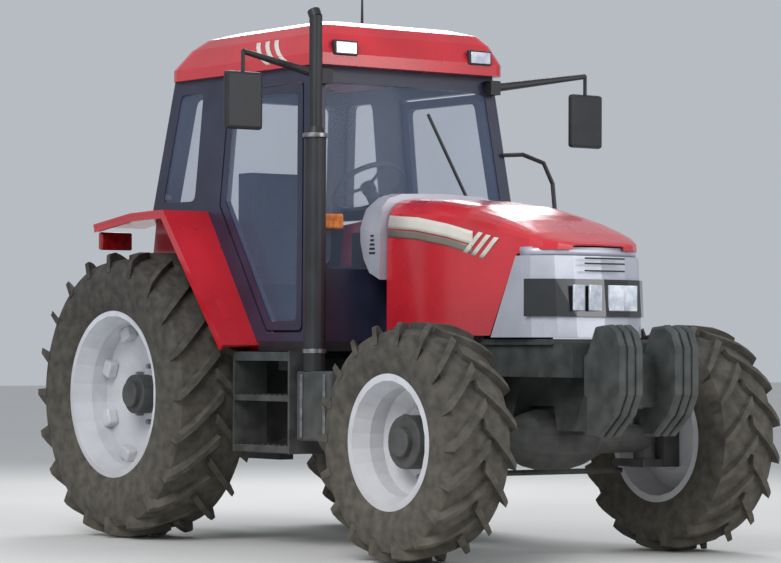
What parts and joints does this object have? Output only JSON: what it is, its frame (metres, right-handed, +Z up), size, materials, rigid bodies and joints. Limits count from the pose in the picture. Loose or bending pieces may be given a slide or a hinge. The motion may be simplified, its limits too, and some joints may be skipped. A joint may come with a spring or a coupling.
{
  "type": "farm tractor with cab",
  "caption": "Four-wheel-drive farm tractor with glazed cab, tilting hood, doors, steered front wheels, front weights and a rear lifting linkage.",
  "frame": {"origin": "on the ground, under the middle of the whole machine", "axes": "+X forward, +Y to the driver's left, +Z up"},
  "size_m": [4.16, 2.44, 3.09],
  "materials": {
    "red_paint": "gloss",
    "silver_paint": "satin",
    "white_rim": "satin",
    "charcoal_paint": "satin, dusty",
    "black_trim": "matte",
    "cab_grey": "satin",
    "tyre_rubber": "matte, dusty",
    "glass": "clear",
    "seat_fabric": "woven",
    "lamp": "clear"
  },
  "bodies": {
    "body": {"transmission_housing": "charcoal_paint", "engine_block": "charcoal_paint", "front_frame": "charcoal_paint", "front_axle_beam": "charcoal_paint", "front_drive_shaft": "charcoal_paint", "front_weights": "charcoal_paint", "cowl": "silver_paint", "cab_floor": "black_trim", "cab_front_frame": "cab_grey", "windshield": "glass", "cab_rear_frame": "cab_grey", "rear_window": "glass", "cab_side_right": "cab_grey", "quarter_glass_right": "glass", "cab_side_left": "cab_grey", "quarter_glass_left": "glass", "roof": "red_paint", "antenna": "black_trim", "fender_right": "red_paint", "fender_left": "red_paint", "seat": "seat_fabric", "dashboard": "black_trim", "steering_wheel": "black_trim", "battery_box": "charcoal_paint", "fuel_tank": "charcoal_paint", "steps_right": "charcoal_paint", "steps_left": "charcoal_paint", "exhaust_stack": "black_trim", "mirror_right": "black_trim", "mirror_left": "black_trim", "grab_rail": "black_trim", "top_link": "charcoal_paint", "drawbar": "charcoal_paint"},
    "hood": {"hood": "red_paint", "nose_cowling": "silver_paint", "headlamp_bar": "lamp"},
    "track_rod": {"track_rod": "charcoal_paint"},
    "door_left": {"door_left": "cab_grey", "door_glass_left": "glass"},
    "rear_wheel_left": {"rear_tyre_left": "tyre_rubber", "rear_rim_left": "white_rim"},
    "door_right": {"door_right": "cab_grey", "door_glass_right": "glass"},
    "rear_wheel_right": {"rear_tyre_right": "tyre_rubber", "rear_rim_right": "white_rim"},
    "knuckle_left": {"steering_knuckle_left": "charcoal_paint"},
    "front_wheel_left": {"front_tyre_left": "tyre_rubber", "front_rim_left": "white_rim"},
    "knuckle_right": {"steering_knuckle_right": "charcoal_paint"},
    "front_wheel_right": {"front_tyre_right": "tyre_rubber", "front_rim_right": "white_rim"},
    "lower_link_left": {"lower_link_left": "charcoal_paint"},
    "lift_arm_left": {"lift_arm_left": "charcoal_paint"},
    "lift_rod_left": {"lift_rod_left": "charcoal_paint"},
    "lower_link_right": {"lower_link_right": "charcoal_paint"},
    "lift_arm_right": {"lift_arm_right": "charcoal_paint"},
    "lift_rod_right": {"lift_rod_right": "charcoal_paint"}
  },
  "joints": [
    {"name": "hood_hinge", "type": "hinge", "parent": "body", "child": "hood", "pos_m": [0.41, 0, 1.79], "axis": [0, -1, 0], "range_deg": [0, 50]},
    {"name": "door_left_hinge", "type": "hinge", "parent": "body", "child": "door_left", "pos_m": [0.0568, 0.68164, 1.8], "axis": [0.1284, 0.0909, -0.9876], "range_deg": [0, 70]},
    {"name": "rear_wheel_left_spin", "type": "hinge", "parent": "body", "child": "rear_wheel_left", "pos_m": [-1.13, 0.8585, 0.7654], "axis": [0, 1, 0], "continuous": true},
    {"name": "door_right_hinge", "type": "hinge", "parent": "body", "child": "door_right", "pos_m": [0.0568, -0.68164, 1.8], "axis": [-0.1284, 0.0909, 0.9876], "range_deg": [0, 70]},
    {"name": "rear_wheel_right_spin", "type": "hinge", "parent": "body", "child": "rear_wheel_right", "pos_m": [-1.13, -0.8585, 0.7654], "axis": [0, 1, 0], "continuous": true},
    {"name": "steer_left", "type": "hinge", "parent": "body", "child": "knuckle_left", "pos_m": [1.28, 0.6, 0.57107], "axis": [0, 0, 1], "range_deg": [-35, 35]},
    {"name": "front_wheel_left_spin", "type": "hinge", "parent": "knuckle_left", "child": "front_wheel_left", "pos_m": [1.28, 0.8335, 0.57107], "axis": [0, 1, 0], "continuous": true},
    {"name": "steer_right", "type": "hinge", "parent": "body", "child": "knuckle_right", "pos_m": [1.28, -0.6, 0.57107], "axis": [0, 0, 1], "range_deg": [-35, 35]},
    {"name": "front_wheel_right_spin", "type": "hinge", "parent": "knuckle_right", "child": "front_wheel_right", "pos_m": [1.28, -0.8335, 0.57107], "axis": [0, 1, 0], "continuous": true},
    {"name": "track_rod_slide", "type": "slide", "parent": "body", "child": "track_rod", "axis": [0, 1, 0], "range_m": [-0.12, 0.12]},
    {"name": "lower_link_left_hinge", "type": "hinge", "parent": "body", "child": "lower_link_left", "pos_m": [-1.46, 0.4, 0.5], "axis": [0, 1, 0], "range_deg": [-15, 35]},
    {"name": "lift_arm_left_hinge", "type": "hinge", "parent": "body", "child": "lift_arm_left", "pos_m": [-1.46, 0.4, 0.88], "axis": [0, 1, 0], "range_deg": [-15, 35]},
    {"name": "lift_rod_left_hinge", "type": "hinge", "parent": "lift_arm_left", "child": "lift_rod_left", "pos_m": [-1.74, 0.4, 0.88], "axis": [0, 1, 0], "range_deg": [-35, 15]},
    {"name": "lower_link_right_hinge", "type": "hinge", "parent": "body", "child": "lower_link_right", "pos_m": [-1.46, -0.4, 0.5], "axis": [0, 1, 0], "range_deg": [-15, 35]},
    {"name": "lift_arm_right_hinge", "type": "hinge", "parent": "body", "child": "lift_arm_right", "pos_m": [-1.46, -0.4, 0.88], "axis": [0, 1, 0], "range_deg": [-15, 35]},
    {"name": "lift_rod_right_hinge", "type": "hinge", "parent": "lift_arm_right", "child": "lift_rod_right", "pos_m": [-1.74, -0.4, 0.88], "axis": [0, 1, 0], "range_deg": [-35, 15]}
  ],
  "couplings": [
    {"joint": "steer_right", "follows": "steer_left", "ratio": 1},
    {"joint": "track_rod_slide", "follows": "steer_left", "m_per_rad": -0.15},
    {"joint": "lower_link_right_hinge", "follows": "lower_link_left_hinge", "ratio": 1},
    {"joint": "lift_arm_left_hinge", "follows": "lower_link_left_hinge", "ratio": 1},
    {"joint": "lift_arm_right_hinge", "follows": "lower_link_left_hinge", "ratio": 1},
    {"joint": "lift_rod_left_hinge", "follows": "lower_link_left_hinge", "ratio": -1},
    {"joint": "lift_rod_right_hinge", "follows": "lower_link_left_hinge", "ratio": -1}
  ]
}
